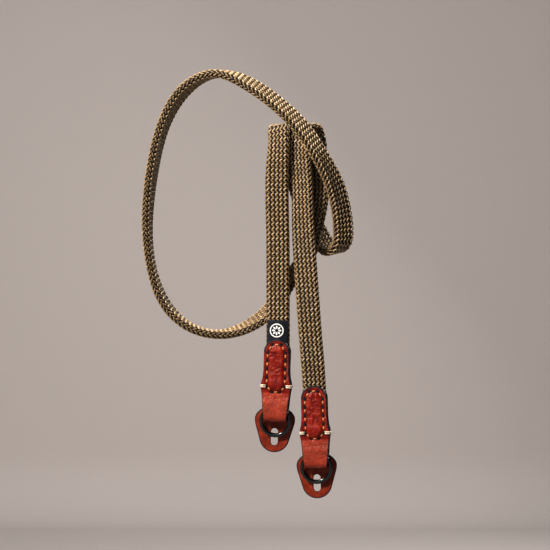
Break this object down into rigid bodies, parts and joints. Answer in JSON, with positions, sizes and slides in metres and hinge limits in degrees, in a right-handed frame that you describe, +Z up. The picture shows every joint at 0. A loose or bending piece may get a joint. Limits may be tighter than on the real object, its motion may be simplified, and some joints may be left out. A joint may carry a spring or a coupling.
{
  "type": "camera strap",
  "caption": "Flat woven camera strap, looped and hung, with folded leather tabs, split rings and slotted leather guards on its ends and a small label on one.",
  "frame": {"origin": "where the strap hangs: the inside top of its two folds", "axes": "+Z up, the strap's front faces look to -Y, +X to the right seen from the front"},
  "size_m": [0.1355, 0.0483, 0.2716],
  "materials": {
    "woven_strap": "matte",
    "tab_leather": "satin",
    "guard_leather": "satin",
    "black_metal": "satin",
    "black_patch": "matte"
  },
  "bodies": {
    "root": {"strap": "woven_strap", "label": "black_patch", "tab_a": "tab_leather", "tab_b": "tab_leather", "ring_a": "black_metal", "ring_b": "black_metal", "guard_a": "guard_leather", "guard_b": "guard_leather"}
  },
  "joints": []
}
